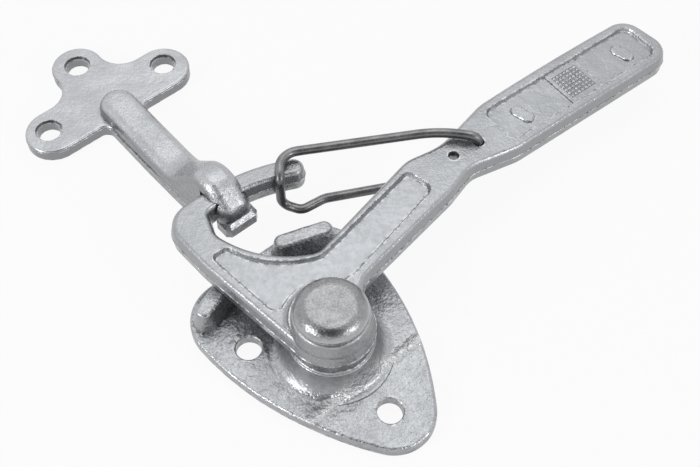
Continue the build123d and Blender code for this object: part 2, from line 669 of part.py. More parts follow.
def keeper_ridge():
    """Drafted ridge of the stem and the hook with rounded shoulders, down to the back."""
    foot = ridge_half_width(0)
    crest = ridge_half_width(ARCH_TOP_Z)
    section = make_face(Polyline(
        (-foot, 0), (foot, 0), (crest, ARCH_TOP_Z), (-crest, ARCH_TOP_Z), close=True,
    ))
    bar = extrude(Plane.YZ.offset(STEM_START_S) * section, NOSE_S - STEM_START_S)
    ridge = bar & extrude(Plane.XZ * hook_side(), foot, both=True)
    rounded = []
    for edge in ridge.edges():
        middle = edge @ 0.5
        outside = middle.Z > STEM_TOP_Z - 0.1 or middle.X > NOSE_S - 0.1
        on_wall = abs(middle.Y) > ridge_half_width(middle.Z) - 0.1
        if outside and on_wall and middle.X > STEM_START_S and middle.Z > 0.1:
            rounded.append(edge)
    return fillet(rounded, STEM_ROUND_R)


def stem_start():
    """Domed start of the stem on the flange."""
    shoulder = ridge_half_width(STEM_TOP_Z)
    side = make_face(Polyline(
        (0, 0), (ridge_half_width(0), 0), (shoulder, STEM_TOP_Z), (0, STEM_TOP_Z), close=True,
    ))
    side = round_corners(side, (((shoulder, STEM_TOP_Z), STEM_ROUND_R),))
    return Pos(STEM_START_S, 0, 0) * revolve(Plane.XZ * side, Axis.Z)


def hook_lip():
    """Lip round the nose's foot: a block with cut corners and a sloping ledge on top."""
    inner_s = KEEPER_DISTANCE - HOOK_INNER_R
    length = LIP_S - inner_s
    plan = Pos(inner_s + length / 2, 0) * Rectangle(length, 2 * LIP_HALF_WIDTH)
    corners = plan.vertices().group_by(Axis.X)[-1]
    plan = chamfer(corners, LIP_CORNER)
    block = extrude(Pos(0, 0, LIP_BOTTOM_Z) * plan, LIP_TOP_Z - LIP_BOTTOM_Z)
    ledge = extrude(Pos(0, 0, LIP_TOP_Z) * plan, LIP_LEDGE_HEIGHT)
    walls = [face for face in ledge.faces() if abs(face.normal_at(face.center()).Z) < 0.01]
    return block + draft(walls, Plane((0, 0, LIP_TOP_Z)), LIP_LEDGE_DRAFT)


def build_keeper():
    """Forged flange with a D-shaped stem that arches over the lever's hook arm."""
    nose_s = KEEPER_DISTANCE - HOOK_RADIUS
    under_nose = Pos(nose_s, 0, 0) * Box(
        2 * (NOSE_S - nose_s), 4 * STEM_HALF_WIDTH, LIP_BOTTOM_Z,
        align=(Align.MIN, Align.CENTER, Align.MIN),
    )
    keeper = keeper_base() + stem_start() + (keeper_ridge() - under_nose) + hook_lip()
    keeper -= heel_relief()

    pivot = Pos(KEEPER_DISTANCE, KEEPER_OFFSET, 0)
    roof_z = LEVER_TOP_Z + ARCH_GAP
    below = 1.0
    swept = Circle(HOOK_OUTER_R + ARCH_GAP) - Circle(HOOK_INNER_R - ARCH_GAP)
    keeper -= pivot * Pos(0, 0, -below) * extrude(swept, roof_z + below)

    for s, t in ((0, 0), (SIDE_HOLE_S, SIDE_HOLE_T), (SIDE_HOLE_S, -SIDE_HOLE_T)):
        keeper -= Pos(s, t, 0) * Cylinder(KEEPER_HOLE_D / 2, 3 * FLANGE_THICK)
        sink = Cylinder(KEEPER_SINK_D / 2, 2 * KEEPER_SINK_DEPTH)
        keeper -= Pos(s, t, FLANGE_THICK) * sink
    return Rot(0, 0, PULL_ANGLE + 180) * Pos(-KEEPER_DISTANCE, -KEEPER_OFFSET, 0) * keeper


if __name__ == "__main__":
    os.makedirs("parts", exist_ok=True)
    export_step(build_base_plate(), "parts/base_plate.step")
    export_step(build_pivot_rivet(), "parts/pivot_rivet.step")
    export_step(build_latch_lever(), "parts/latch_lever.step")
    export_step(build_gate_spring(), "parts/gate_spring.step")
    export_step(build_keeper(), "parts/keeper.step")
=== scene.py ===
import json
import logging
from dataclasses import dataclass, replace
from enum import Enum
from math import cos, pi, radians, sin

import bmesh
import bpy
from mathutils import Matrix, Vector

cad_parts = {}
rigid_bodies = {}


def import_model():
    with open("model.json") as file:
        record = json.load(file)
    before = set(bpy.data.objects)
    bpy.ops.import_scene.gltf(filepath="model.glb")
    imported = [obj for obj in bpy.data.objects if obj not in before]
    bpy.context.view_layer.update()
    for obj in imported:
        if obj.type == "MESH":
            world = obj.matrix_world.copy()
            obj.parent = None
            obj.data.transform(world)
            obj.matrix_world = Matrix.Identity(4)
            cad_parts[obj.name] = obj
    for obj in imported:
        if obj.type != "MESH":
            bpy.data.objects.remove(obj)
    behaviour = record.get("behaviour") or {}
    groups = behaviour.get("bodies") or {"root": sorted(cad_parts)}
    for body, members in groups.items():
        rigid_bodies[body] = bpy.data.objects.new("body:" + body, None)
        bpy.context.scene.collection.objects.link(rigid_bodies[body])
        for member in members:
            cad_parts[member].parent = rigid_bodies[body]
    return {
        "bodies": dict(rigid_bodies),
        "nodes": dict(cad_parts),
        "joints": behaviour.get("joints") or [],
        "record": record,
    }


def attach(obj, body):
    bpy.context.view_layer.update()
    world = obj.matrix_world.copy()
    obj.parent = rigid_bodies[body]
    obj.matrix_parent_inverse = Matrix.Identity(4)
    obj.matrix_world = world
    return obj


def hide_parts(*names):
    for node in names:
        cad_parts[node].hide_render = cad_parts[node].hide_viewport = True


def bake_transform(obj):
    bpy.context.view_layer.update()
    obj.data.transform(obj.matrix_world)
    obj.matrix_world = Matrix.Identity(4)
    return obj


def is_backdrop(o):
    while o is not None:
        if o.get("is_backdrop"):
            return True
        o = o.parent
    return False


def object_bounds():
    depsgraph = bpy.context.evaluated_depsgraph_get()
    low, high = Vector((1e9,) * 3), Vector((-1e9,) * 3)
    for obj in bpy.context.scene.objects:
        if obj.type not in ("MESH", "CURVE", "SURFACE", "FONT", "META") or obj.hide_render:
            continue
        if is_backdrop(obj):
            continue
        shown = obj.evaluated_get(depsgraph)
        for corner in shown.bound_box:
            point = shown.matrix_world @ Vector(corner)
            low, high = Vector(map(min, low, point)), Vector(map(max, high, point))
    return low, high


logging.basicConfig(level=logging.INFO, format="%(levelname)s %(name)s: %(message)s")
LOG = logging.getLogger("drop_side_latch")

MM = 0.001

Colour = tuple[float, float, float]
Point = tuple[float, float, float]
Band = tuple[float, float]
Socket = bpy.types.NodeSocket


class Body(Enum):
    """Names of the latch's rigid bodies."""

    MOUNT = "mount"
    LEVER = "lever"
    GATE = "gate"


class Grip(Enum):
    """How a raised pattern is laid out on the grip's panel."""

    SQUARE = 0.0
    DIAMOND = 45.0


class Nodes:
    """Small helper that adds nodes and links to one node tree."""

    def __init__(self, tree: bpy.types.NodeTree) -> None:
        """Keep the node tree that gets the nodes."""
        self.tree = tree

    def add(self, kind: str, **settings: object) -> bpy.types.Node:
        """Add a node.

        Args:
            kind: The node's type name.
            **settings: Properties set on the node.

        Returns:
            The new node.
        """
        node = self.tree.nodes.new(kind)
        for name, value in settings.items():
            setattr(node, name, value)
        return node

    def link(self, source: Socket, target: Socket) -> None:
        """Link an output socket to an input socket."""
        self.tree.links.new(source, target)

    def math(self, operation: str, *values: Socket | float) -> Socket:
        """Add a math node.

        Args:
            operation: The node's operation.
            *values: Its inputs, each a socket or a number.

        Returns:
            The result's socket.
        """
        node = self.add("ShaderNodeMath", operation=operation)
        for slot, value in zip(node.inputs, values):
            if isinstance(value, (int, float)):
                slot.default_value = value
            else:
                self.link(value, slot)
        return node.outputs[0]

    def ramp(self, value: Socket, band: Band, start: float, end: float) -> Socket:
        """Map a value smoothly from one range to another.

        Args:
            value: The value to read.
            band: The values that give the start and the end.
            start: Result at the band's lower value.
            end: Result at its higher value.

        Returns:
            The mapped value's socket.
        """
        node = self.add("ShaderNodeMapRange", interpolation_type="SMOOTHSTEP")
        numbers = {"From Min": band[0], "From Max": band[1], "To Min": start, "To Max": end}
        for name, number in numbers.items():
            node.inputs[name].default_value = number
        self.link(value, node.inputs["Value"])
        return node.outputs["Result"]

    def noise(self, place: Socket, size: float, detail: float, roughness: float = 0.6) -> Socket:
        """Add a noise of a given feature size.

        Args:
            place: The coordinates to read.
            size: Feature size in metres.
            detail: Number of octaves.
            roughness: Share that each finer octave keeps.

        Returns:
            The noise value's socket.
        """
        node = self.add("ShaderNodeTexNoise")
        node.inputs["Scale"].default_value = 1.0 / size
        node.inputs["Detail"].default_value = detail
        node.inputs["Roughness"].default_value = roughness
        self.link(place, node.inputs["Vector"])
        return node.outputs["Fac"]

    def tint(self, factor: Socket, start: Socket | Colour, end: Socket | Colour) -> Socket:
        """Mix two colours.

        Args:
            factor: Share of the end colour.
            start: Colour where the factor is 0.
            end: Colour where the factor is 1.

        Returns:
            The mixed colour's socket.
        """
        node = self.add("ShaderNodeMix", data_type="RGBA")
        self.link(factor, node.inputs["Factor"])
        colour_slots = [slot for slot in node.inputs if slot.type == "RGBA"]
        for slot, value in zip(colour_slots, (start, end)):
            if isinstance(value, tuple):
                slot.default_value = (*value, 1.0)
            else:
                self.link(value, slot)
        return next(slot for slot in node.outputs if slot.type == "RGBA")


@dataclass(frozen=True)
class Fold:
    """A straight bend mark across a plate.

    Attributes:
        across: Unit direction that the bend is square to.
        offset: Distance of the bend from the pivot along that direction, in metres.
        width: Half width of the mark in metres.
        wander: How far the mark strays, in metres.
        depth: Height of the ridge that it raises, in metres.
        gleam: How much brighter the ridge is, 0 to 1.
    """

    across: Point
    offset: float
    width: float
    wander: float
    depth: float
    gleam: float


@dataclass(frozen=True)
class SteelFinish:
    """A galvanised or bare steel surface, painted in object coordinates.

    Attributes:
        name: The material's name.
        pale: Colour of the bright zinc.
        grey: Colour of the duller zinc.
        wall: Colour painted on the drafted walls in place of their shading, and colour of the fine
            pores.
        bright: Colour of the edges and the bend mark, which wear has polished; on the edges it is
            also a painted highlight.
        dark: Colour of the painted shade in creases and of the specks at edges.
        metallic: How metallic the surface is.
        roughness: Middle roughness of the surface.
        roughness_spread: How far the roughness varies either way.
        mottle: Size of the soft blotches in metres.
        wave_depth: Depth of the slow unevenness in metres.
        pebble: Size of the forging's scale marks in metres.
        pebble_depth: Depth of those marks in metres.
        grain: Size of the finest grain in metres.
        grain_depth: Depth of that grain in metres.
        crease_shade: How dark the painted shade in the creases is, 0 to 1.
        specks: How dense the dark specks at edges are, 0 to 1.
        wear_and_highlight: How bright the edges are made, partly by wear and partly as a painted
            highlight, 0 to 1.
        pores: How much the fine pores show, 0 to 1.
        fold: The bend mark, if the surface has one.
        crease_shade_reach: How far the painted shade spreads out of a hollow, in metres.
        edge_reach: How far a rounded edge spreads, in metres.
        own_only: Whether the painted shade in hollows leaves neighbouring pieces out; if not, their
            shade is painted too.
        calm_level: Height up to which the surface is smoother, in metres.
    """

    name: str
    pale: Colour
    grey: Colour
    wall: Colour
    bright: Colour
    dark: Colour
    metallic: float
    roughness: float
    roughness_spread: float
    mottle: float
    wave_depth: float
    pebble: float
    pebble_depth: float
    grain: float
    grain_depth: float
    crease_shade: float
    specks: float
    wear_and_highlight: float
    pores: float
    fold: Fold | None = None
    crease_shade_reach: float = 2.4 * MM
    edge_reach: float = 2.2 * MM
    own_only: bool = True
    calm_level: float = -1.0

    COARSE_OCTAVES = 4.0
    FINE_OCTAVES = 2.0
    FINE_ROUGHNESS = 0.7

    # Noise values between which each mark comes in or fades out.
    MOTTLE_BAND = (0.35, 0.65)
    ROUGH_BAND = (0.35, 0.65)
    PORE_BAND = (0.34, 0.56)
    WEAR_AND_HIGHLIGHT_BAND = (0.40, 0.60)
    SPECK_BAND = (0.41, 0.52)
    GROUP_BAND = (0.42, 0.56)
    FOLD_BAND = (0.3, 0.6)
    CREASE_GRAIN_BAND = (0.35, 0.6)

    # The least that the noise leaves of the bend mark and of the painted shade in a hollow.
    FOLD_SHARE = 0.7
    CREASE_GRAIN_SHARE = 0.65

    # Length over which the bend mark strays.
    FOLD_STRAY_SIZE = 6.0 * MM

    # Openness at a crease and cosines at an edge, and the rays that read them.
    CREASE_BAND = (0.45, 0.93)
    CREASE_SAMPLES = 8
    EDGE_BAND = (0.90, 0.995)
    EDGE_SAMPLES = 6

    # Cosines between a wall and a top, and how far the noise moves them.
    STEEP_BAND = (0.35, 0.95)
    STEEP_BREAK_UP = 0.2

    # Share of the lowest roughness that wear takes off an edge.
    WEAR_POLISH = 1.0 / 3.0

    # Height over which the relief comes in above the calm level, and its share below.
    CALM_STEP = 0.8 * MM
    CALM_SHARE = 0.35

    def build(self) -> bpy.types.Material:
        """Make the material.

        Returns:
            The finished material.
        """
        material = bpy.data.materials.new(self.name)
        material.use_nodes = True
        material.node_tree.nodes.clear()
        kit = Nodes(material.node_tree)
        place = kit.add("ShaderNodeTexCoord").outputs["Object"]
        shader = kit.add("ShaderNodeBsdfPrincipled")
        shader.inputs["Metallic"].default_value = self.metallic
        output = kit.add("ShaderNodeOutputMaterial")
        kit.link(shader.outputs["BSDF"], output.inputs["Surface"])

        mottle = kit.noise(place, self.mottle, self.COARSE_OCTAVES)
        pebble = kit.noise(place, self.pebble, self.COARSE_OCTAVES)
        grain = kit.noise(place, self.grain, self.FINE_OCTAVES, self.FINE_ROUGHNESS)
        height = kit.add("ShaderNodeSeparateXYZ")
        kit.link(place, height.inputs[0])
        calm_band = (self.calm_level, self.calm_level + self.CALM_STEP)
        rugged = kit.ramp(height.outputs["Z"], calm_band, self.CALM_SHARE, 1.0)

        edge = self._edge(kit)
        ridge = self._fold_mark(kit, place, pebble) if self.fold is not None else None
        colour = kit.tint(kit.ramp(mottle, self.MOTTLE_BAND, 0.0, 1.0), self.grey, self.pale)
        if ridge is not None:
            colour = kit.tint(kit.math("MULTIPLY", ridge, self.fold.gleam), colour, self.bright)
        # Painted shading: the drafted walls take the wall colour.
        colour = kit.tint(self._painted_wall_shading(kit, pebble), colour, self.wall)
        pores = kit.math("MULTIPLY", kit.ramp(grain, self.PORE_BAND, self.pores, 0.0), rugged)
        colour = kit.tint(pores, colour, self.wall)
        # Edges take the bright colour, partly for wear and partly as a painted highlight.
        worn_and_highlit = kit.math("MULTIPLY", edge, kit.ramp(pebble, self.WEAR_AND_HIGHLIGHT_BAND, self.wear_and_highlight, 0.0))
        colour = kit.tint(worn_and_highlit, colour, self.bright)
        # Painted shade in the creases, together with the real dark specks at the edges.
        shade_and_specks = kit.math("MAXIMUM", self._crease_shade(kit, grain), self._specks(kit, edge, grain, pebble))
        kit.link(kit.tint(shade_and_specks, colour, self.dark), shader.inputs["Base Color"])

        low = self.roughness - self.roughness_spread
        high = self.roughness + self.roughness_spread
        rough = kit.ramp(pebble, self.ROUGH_BAND, low, high)
        rough = kit.math("SUBTRACT", rough, kit.math("MULTIPLY", worn_and_highlit, low * self.WEAR_POLISH))
        kit.link(rough, shader.inputs["Roughness"])

        wave = self._bump(kit, mottle, self.wave_depth, None)
        coarse = self._bump(kit, kit.math("MULTIPLY", pebble, rugged), self.pebble_depth, wave)
        if ridge is not None:
            coarse = self._bump(kit, ridge, self.fold.depth, coarse)
        fine = self._bump(kit, kit.math("MULTIPLY", grain, rugged), self.grain_depth, coarse)
        kit.link(fine, shader.inputs["Normal"])
        return material

    def _fold_mark(self, kit: Nodes, place: Socket, pebble: Socket) -> Socket:
        """Find the bend mark, which is broken up by the scale marks.

        Args:
            kit: The tree helper.
            place: The coordinates to read.
            pebble: The coarser noise.

        Returns:
            The ridge's height, 0 to 1.
        """
        dot = kit.add("ShaderNodeVectorMath", operation="DOT_PRODUCT")
        kit.link(place, dot.inputs[0])
        dot.inputs[1].default_value = self.fold.across
        drift = kit.noise(place, self.FOLD_STRAY_SIZE, self.FINE_OCTAVES)
        stray = kit.math("MULTIPLY_ADD", drift, self.fold.wander, dot.outputs["Value"])
        away = kit.math("ABSOLUTE", kit.math("SUBTRACT", stray, self.fold.offset))
        ridge = kit.ramp(away, (0.0, self.fold.width), 1.0, 0.0)
        return kit.math("MULTIPLY", ridge, kit.ramp(pebble, self.FOLD_BAND, self.FOLD_SHARE, 1.0))

    def _crease_shade(self, kit: Nodes, grain: Socket) -> Socket:
        """Paint shade into inner corners, broken up by the grain.

        Args:
            kit: The tree helper.
            grain: The fine noise.

        Returns:
            The mask's socket.
        """
        shade = kit.add(
            "ShaderNodeAmbientOcclusion", samples=self.CREASE_SAMPLES, only_local=self.own_only
        )
        shade.inputs["Distance"].default_value = self.crease_shade_reach
        hollow = kit.ramp(shade.outputs["AO"], self.CREASE_BAND, self.crease_shade, 0.0)
        broken = kit.ramp(grain, self.CREASE_GRAIN_BAND, 1.0, self.CREASE_GRAIN_SHARE)
        return kit.math("MULTIPLY", hollow, broken)

    def _painted_wall_shading(self, kit: Nodes, pebble: Socket) -> Socket:
        """Find the drafted walls, on which the wall colour is painted in place of their shading.

        Args:
            kit: The tree helper.
            pebble: The coarser noise, which breaks the border up.

        Returns:
            The mask's socket, 1 on a wall and 0 on a top.
        """
        split = kit.add("ShaderNodeSeparateXYZ")
        kit.link(kit.add("ShaderNodeTexCoord").outputs["Normal"], split.inputs[0])
        upright = kit.math("ABSOLUTE", split.outputs["Z"])
        level = kit.math("MULTIPLY_ADD", pebble, self.STEEP_BREAK_UP, upright)
        return kit.ramp(level, self.STEEP_BAND, 1.0, 0.0)

    def _edge(self, kit: Nodes) -> Socket:
        """Find the rounded edges.

        Args:
            kit: The tree helper.

        Returns:
            The mask's socket.
        """
        bevel = kit.add("ShaderNodeBevel", samples=self.EDGE_SAMPLES)
        bevel.inputs["Radius"].default_value = self.edge_reach
        flat = kit.add("ShaderNodeNewGeometry").outputs["Normal"]
        dot = kit.add("ShaderNodeVectorMath", operation="DOT_PRODUCT")
        kit.link(bevel.outputs["Normal"], dot.inputs[0])
        kit.link(flat, dot.inputs[1])
        return kit.ramp(dot.outputs["Value"], self.EDGE_BAND, 1.0, 0.0)

    def _specks(self, kit: Nodes, edge: Socket, grain: Socket, pebble: Socket) -> Socket:
        """Scatter dark specks along the rounded edges.

        Args:
            kit: The tree helper.
            edge: The mask of the edges.
            grain: The fine noise.
            pebble: The coarser noise, which groups the specks.

        Returns:
            The mask's socket.
        """
        speck = kit.ramp(grain, self.SPECK_BAND, 1.0, 0.0)
        group = kit.ramp(pebble, self.GROUP_BAND, 0.0, self.specks)
        return kit.math("MULTIPLY", kit.math("MULTIPLY", edge, speck), group)

    @staticmethod
    def _bump(kit: Nodes, height: Socket, depth: float, below: Socket | None) -> Socket:
        """Add a bump on top of another.

        Args:
            kit: The tree helper.
            height: The height's socket, 0 to 1.
            depth: Depth of the relief in metres.
            below: The normal that it lies on, if any.

        Returns:
            The bumped normal's socket.
        """
        bump = kit.add("ShaderNodeBump")
        bump.inputs["Strength"].default_value = 1.0
        bump.inputs["Distance"].default_value = depth
        kit.link(height, bump.inputs["Height"])
        if below is not None:
            kit.link(below, bump.inputs["Normal"])
        return bump.outputs["Normal"]


GALVANISED_PLATE = SteelFinish(
    name="galvanised_plate",
    pale=(0.48, 0.493, 0.51),
    grey=(0.39, 0.401, 0.418),
    wall=(0.35, 0.357, 0.37),
    bright=(0.82, 0.83, 0.84),
    dark=(0.05, 0.05, 0.055),
    metallic=0.8,
    roughness=0.25,
    roughness_spread=0.08,
    mottle=9.0 * MM,
    wave_depth=0.9 * MM,
    pebble=1.9 * MM,
    pebble_depth=0.26 * MM,
    grain=0.85 * MM,
    grain_depth=0.16 * MM,
    crease_shade=0.55,
    specks=0.9,
    wear_and_highlight=0.7,
    pores=0.45,
    fold=Fold(
        across=(-0.6481, 0.7615, 0.0),
        offset=-16.0 * MM,
        width=3.0 * MM,
        wander=0.8 * MM,
        depth=0.75 * MM,
        gleam=0.85,
    ),
    # The painted shade reaches the pieces above the plate and paints their shade on it.
    crease_shade_reach=6.0 * MM,
    own_only=False,
)
GALVANISED_KEEPER = SteelFinish(
    name="galvanised_keeper",
    pale=(0.56, 0.573, 0.594),
    grey=(0.48, 0.492, 0.513),
    wall=(0.27, 0.276, 0.287),
    bright=(0.80, 0.81, 0.82),
    dark=(0.06, 0.06, 0.065),
    metallic=0.8,
    roughness=0.27,
    roughness_spread=0.08,
    mottle=14.0 * MM,
    wave_depth=0.5 * MM,
    pebble=2.2 * MM,
    pebble_depth=0.22 * MM,
    grain=0.85 * MM,
    grain_depth=0.17 * MM,
    crease_shade=0.6,
    specks=0.9,
    wear_and_highlight=0.45,
    pores=0.34,
    edge_reach=1.0 * MM,
    calm_level=8.0 * MM,
)
GALVANISED_LEVER = SteelFinish(
    name="galvanised_lever",
    pale=(0.43, 0.442, 0.46),
    grey=(0.38, 0.391, 0.408),
    wall=(0.33, 0.337, 0.348),
    bright=(0.82, 0.83, 0.84),
    dark=(0.06, 0.06, 0.065),
    metallic=0.8,
    roughness=0.27,
    roughness_spread=0.08,
    mottle=14.0 * MM,
    wave_depth=0.5 * MM,
    pebble=2.0 * MM,
    pebble_depth=0.15 * MM,
    grain=0.85 * MM,
    grain_depth=0.15 * MM,
    crease_shade=0.6,
    specks=0.95,
    wear_and_highlight=0.7,
    pores=0.34,
    edge_reach=1.6 * MM,
    calm_level=22.1 * MM,
)
HAMMERED_RIVET = SteelFinish(
    name="hammered_rivet",
    pale=(0.30, 0.304, 0.31),
    grey=(0.22, 0.223, 0.23),
    wall=(0.45, 0.455, 0.465),
    bright=(0.75, 0.755, 0.76),
    dark=(0.03, 0.03, 0.03),
    metallic=0.95,
    roughness=0.17,
    roughness_spread=0.05,
    mottle=5.0 * MM,
    wave_depth=0.25 * MM,
    pebble=1.8 * MM,
    pebble_depth=0.13 * MM,
    grain=0.7 * MM,
    grain_depth=0.10 * MM,
    crease_shade=0.8,
    specks=0.9,
    wear_and_highlight=0.6,
    pores=0.4,
    crease_shade_reach=0.9 * MM,
    own_only=False,
)
SPRING_WIRE = SteelFinish(
    name="spring_wire",
    pale=(0.27, 0.27, 0.275),
    grey=(0.18, 0.18, 0.185),
    wall=(0.13, 0.13, 0.135),
    bright=(0.27, 0.27, 0.275),
    dark=(0.03, 0.03, 0.03),
    metallic=0.85,
    roughness=0.28,
    roughness_spread=0.07,
    mottle=7.0 * MM,
    wave_depth=0.1 * MM,
    pebble=2.0 * MM,
    pebble_depth=0.06 * MM,
    grain=0.7 * MM,
    grain_depth=0.03 * MM,
    crease_shade=0.0,
    specks=0.0,
    wear_and_highlight=0.0,
    pores=0.25,
)
PLAIN_PLATE = replace(
    GALVANISED_PLATE,
    name="galvanised_flare",
    wall=(0.24, 0.245, 0.255),
    roughness=0.17,
    roughness_spread=0.06,
    wave_depth=0.3 * MM,
    crease_shade=0.0,
    specks=0.0,
    wear_and_highlight=0.0,
)
PLAIN_LEVER = replace(
    GALVANISED_LEVER,
    name="galvanised_knurl",
    wall=(0.42, 0.43, 0.445),
    crease_shade=0.0,
    specks=0.0,
    wear_and_highlight=0.3,
)


class FormTree:
    """A Geometry Nodes tree with named inputs that ends in realised, finished geometry."""

    def __init__(self, name: str, **sizes: float) -> None:
        """Make the tree with its inputs.

        Args:
            name: The tree's name.
            **sizes: Named size inputs with their values.
        """
        self.sizes = sizes
        self.group = bpy.data.node_groups.new(name, "GeometryNodeTree")
        interface = self.group.interface
        interface.new_socket("Seed", in_out="INPUT", socket_type="NodeSocketGeometry")
        interface.new_socket("Finish", in_out="INPUT", socket_type="NodeSocketMaterial")
        for label, value in sizes.items():
            item = interface.new_socket(label, in_out="INPUT", socket_type="NodeSocketFloat")
            item.default_value = value
        interface.new_socket("Form", in_out="OUTPUT", socket_type="NodeSocketGeometry")
        self.kit = Nodes(self.group)
        self.inputs = self.kit.add("NodeGroupInput").outputs

    def step(self, kind: str, geometry: Socket | None = None, **values: object) -> bpy.types.Node:
        """Add a node, feed it geometry and set its inputs.

        Args:
            kind: The node's type name without its prefix.
            geometry: Geometry for its first input, if it takes any.
            **values: Input values or sockets; an underscore in a name stands for a space.

        Returns:
            The new node.
        """
        settings = {name: values.pop(name) for name in ("mode", "domain") if name in values}
        node = self.kit.add("GeometryNode" + kind, **settings)
        if geometry is not None:
            self.kit.link(geometry, node.inputs[0])
        for name, value in values.items():
            slot = node.inputs[name.replace("_", " ")]
            if isinstance(value, bpy.types.NodeSocket):
                self.kit.link(value, slot)
            else:
                slot.default_value = value
        return node

    def finish(self, geometry: Socket) -> None:
        """End the tree: smooth, realise, set the material and hand over.

        Args:
            geometry: The shape's socket.
        """
        smooth = self.step("SetShadeSmooth", geometry)
        real = self.step("RealizeInstances", smooth.outputs[0])
        done = self.step("SetMaterial", real.outputs[0], Material=self.inputs["Finish"])
        self.kit.link(done.outputs[0], self.kit.add("NodeGroupOutput").inputs[0])

    def grow(
        self, name: str, seed: bpy.types.Mesh, finish: bpy.types.Material
    ) -> bpy.types.Object:
        """Run the tree on a mesh and keep the result as a plain mesh.

        Args:
            name: The piece's name.
            seed: The mesh that the tree starts from.
            finish: The piece's material.

        Returns:
            The new piece.
        """
        carrier = bpy.data.objects.new(name + "_seed", seed)
        bpy.context.scene.collection.objects.link(carrier)
        modifier = carrier.modifiers.new("form", "NODES")
        modifier.node_group = self.group
        for item in self.group.interface.items_tree:
            if item.in_out == "INPUT" and item.name == "Finish":
                modifier[item.identifier] = finish
            elif item.in_out == "INPUT" and item.name in self.sizes:
                modifier[item.identifier] = self.sizes[item.name]
        graph = bpy.context.evaluated_depsgraph_get()
        mesh = bpy.data.meshes.new_from_object(carrier.evaluated_get(graph), depsgraph=graph)
        bpy.data.objects.remove(carrier)
        piece = bpy.data.objects.new(name, mesh)
        bpy.context.scene.collection.objects.link(piece)
        LOG.info("%s: %d faces", name, len(mesh.polygons))
        return piece


@dataclass
class ForgedPiece:
    """A CAD node that keeps its shape and gets a finish.

    Attributes:
        node: The CAD node's name.
        finish: The finish that the node takes.
    """

    node: str
    finish: SteelFinish

    def dress(self, frame: dict) -> bpy.types.Material:
        """Give the node its material.

        Args:
            frame: The loaded frame.

        Returns:
            The node's new material.
        """
        piece = frame["nodes"][self.node]
        material = self.finish.build()
        if not piece.material_slots:
            piece.data.materials.append(material)
        for slot in piece.material_slots:
            slot.material = material
        LOG.info("%s: %s", self.node, self.finish.name)
        return material


@dataclass
class SafetyWire:
    """The spring wire that closes the hook's mouth, bent along its route.

    Attributes:
        diameter: Thickness of the wire in metres.
        route: Corners of the wire's middle line, in millimetres.
        bends: Radius of each inner corner's bend, in millimetres.
        step: Length of one segment along the wire, in metres.
        sides: Number of faces round the wire.
        bend_steps: Number of segments in each bend.
        still_until: Where the wire was to start bending away from the lever, in metres; not used.
        free_from: Where the wire was to have fully left the lever, in metres; not used.
    """

    diameter: float = 3.6 * MM
    route: tuple[Point, ...] = (
        (53.85, 76.84, 14.6),
        (53.85, 76.84, 25.7),
        (40.5, 79.9, 25.7),
        (-19.43, 69.12, 25.7),
        (-19.03, 57.22, 25.7),
        (-19.03, 57.22, 11.0),
        (-11.37, 54.43, 11.0),
        (-3.23, 59.71, 11.0),
        (44.18, 70.4, 11.0),
        (44.18, 70.4, 21.4),
    )
    bends: tuple[float, ...] = (3.4, 50.0, 7.5, 3.8, 3.6, 4.0, 8.0, 3.5)
    step: float = 0.9 * MM
    sides: int = 20
    bend_steps: int = 12
    still_until: Point = (22.0 * MM, 69.0 * MM, 18.0 * MM)
    free_from: Point = (-24.0 * MM, 59.0 * MM, 18.0 * MM)

    def build(self, finish: bpy.types.Material) -> bpy.types.Object:
        """Make the wire in place of its plain solid.

        Args:
            finish: The wire's material.

        Returns:
            The wire, baked in place.
        """
        wire = self._tree().grow("safety_wire", self._middle_line(), finish)
        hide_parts("gate_spring")
        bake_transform(wire)
        return wire

    def _middle_line(self) -> bpy.types.Mesh:
        """Make the middle line as a chain of edges with a bend radius at each corner.

        Returns:
            The chain's mesh.
        """
        mesh = bpy.data.meshes.new("safety_wire_line")
        corners = [Vector(corner) * MM for corner in self.route]
        mesh.from_pydata(corners, [(i, i + 1) for i in range(len(corners) - 1)], [])
        bend = mesh.attributes.new("bend", "FLOAT", "POINT")
        bend.data.foreach_set("value", [0.0, *(radius * MM for radius in self.bends), 0.0])
        return mesh

    def _tree(self) -> FormTree:
        """Make the tree that rounds the corners and sweeps the wire.

        Returns:
            The tree.
        """
        tree = FormTree(
            "bent_wire", Thickness=self.diameter, Step=self.step, Sides=float(self.sides)
        )
        bend = tree.kit.add("GeometryNodeInputNamedAttribute", data_type="FLOAT")
        bend.inputs["Name"].default_value = "bend"
        line = tree.step("MeshToCurve", tree.inputs["Seed"])
        round_line = tree.step(
            "FilletCurve", line.outputs[0], mode="POLY", Count=self.bend_steps,
            Radius=bend.outputs[0], Limit_Radius=True,
        )
        even = tree.step(
            "ResampleCurve", round_line.outputs[0], mode="LENGTH", Length=tree.inputs["Step"]
        )
        radius = tree.kit.math("MULTIPLY", tree.inputs["Thickness"], 0.5)
        ring = tree.step("CurvePrimitiveCircle", Resolution=tree.inputs["Sides"], Radius=radius)
        swept = tree.step(
            "CurveToMesh", even.outputs[0], Profile_Curve=ring.outputs[0], Fill_Caps=True
        )
        tree.finish(swept.outputs[0])
        return tree


